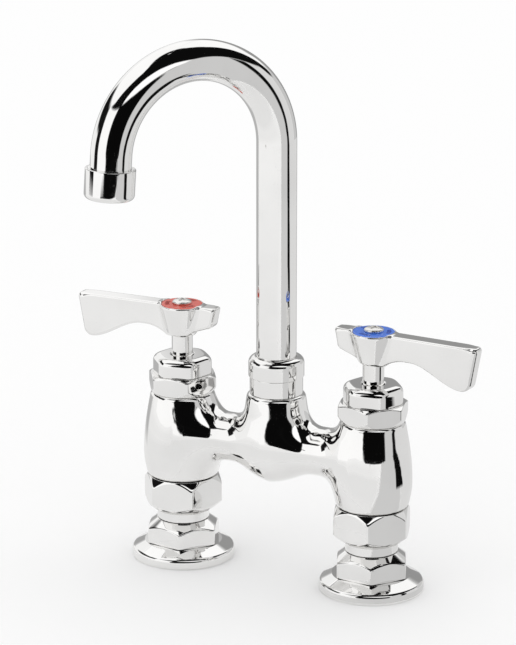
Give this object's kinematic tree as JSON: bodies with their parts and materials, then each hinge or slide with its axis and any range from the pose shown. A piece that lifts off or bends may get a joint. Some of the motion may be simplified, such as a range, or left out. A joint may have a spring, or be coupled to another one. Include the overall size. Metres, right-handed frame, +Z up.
{
  "type": "deck-mounted mixing tap with gooseneck spout",
  "caption": "Deck-mounted bridge mixing tap with hot and cold quarter-turn levers and a swivelling gooseneck spout ending in an aerator.",
  "frame": {"origin": "on the deck's top face, midway between the two inlet axes", "axes": "+X toward the cold side, -Y toward the user, +Z up out of the deck"},
  "size_m": [0.2108, 0.1084, 0.3163],
  "materials": {
    "chrome_plate": "polished chrome on brass",
    "bare_brass": "machined",
    "stainless_steel": "turned",
    "rubber": "moulded",
    "fibre": "pressed fibre",
    "white_plastic": "moulded",
    "ceramic_disc": "lapped",
    "red_plastic": "gloss",
    "blue_plastic": "gloss"
  },
  "bodies": {
    "base": {"body_casting": "chrome_plate", "hot_deck_flange": "chrome_plate", "hot_flange_gasket": "rubber", "hot_flange_nut": "chrome_plate", "hot_inlet_shank": "chrome_plate", "hot_deck_washer": "stainless_steel", "hot_deck_locknut": "bare_brass", "hot_coupling_nut": "chrome_plate", "hot_union_washer": "fibre", "hot_seat_seal": "rubber", "hot_fixed_disc": "ceramic_disc", "hot_bonnet_gasket": "fibre", "hot_bonnet": "chrome_plate", "hot_packing": "white_plastic", "hot_packing_nut": "chrome_plate", "cold_deck_flange": "chrome_plate", "cold_flange_gasket": "rubber", "cold_flange_nut": "chrome_plate", "cold_inlet_shank": "chrome_plate", "cold_deck_washer": "stainless_steel", "cold_deck_locknut": "bare_brass", "cold_coupling_nut": "chrome_plate", "cold_union_washer": "fibre", "cold_seat_seal": "rubber", "cold_fixed_disc": "ceramic_disc", "cold_bonnet_gasket": "fibre", "cold_bonnet": "chrome_plate", "cold_packing": "white_plastic", "cold_packing_nut": "chrome_plate", "swivel_collar": "chrome_plate", "spout_nut": "chrome_plate"},
    "hot_lever": {"hot_moving_disc": "ceramic_disc", "hot_stem": "chrome_plate", "hot_stem_washer": "white_plastic", "hot_stem_o_ring": "rubber", "hot_handle": "chrome_plate", "hot_index_disc": "red_plastic", "hot_handle_screw": "stainless_steel"},
    "cold_lever": {"cold_moving_disc": "ceramic_disc", "cold_stem": "chrome_plate", "cold_stem_washer": "white_plastic", "cold_stem_o_ring": "rubber", "cold_handle": "chrome_plate", "cold_index_disc": "blue_plastic", "cold_handle_screw": "stainless_steel"},
    "spout": {"spout_tube": "chrome_plate", "spout_ferrule": "bare_brass", "spout_o_rings": "rubber", "spout_snap_ring": "stainless_steel", "spout_thrust_washer": "white_plastic", "nozzle_ring": "chrome_plate", "aerator_housing": "chrome_plate", "aerator_insert": "white_plastic", "aerator_washer": "rubber"}
  },
  "joints": [
    {"name": "hot_lever_turn", "type": "hinge", "parent": "base", "child": "hot_lever", "pos_m": [-0.0508, 0, 0.1], "axis": [0, 0, 1], "range_deg": [0, 90]},
    {"name": "cold_lever_turn", "type": "hinge", "parent": "base", "child": "cold_lever", "pos_m": [0.0508, 0, 0.1], "axis": [0, 0, 1], "range_deg": [-90, 0]},
    {"name": "spout_swivel", "type": "hinge", "parent": "base", "child": "spout", "pos_m": [0, 0, 0.1], "axis": [0, 0, 1], "continuous": true}
  ]
}
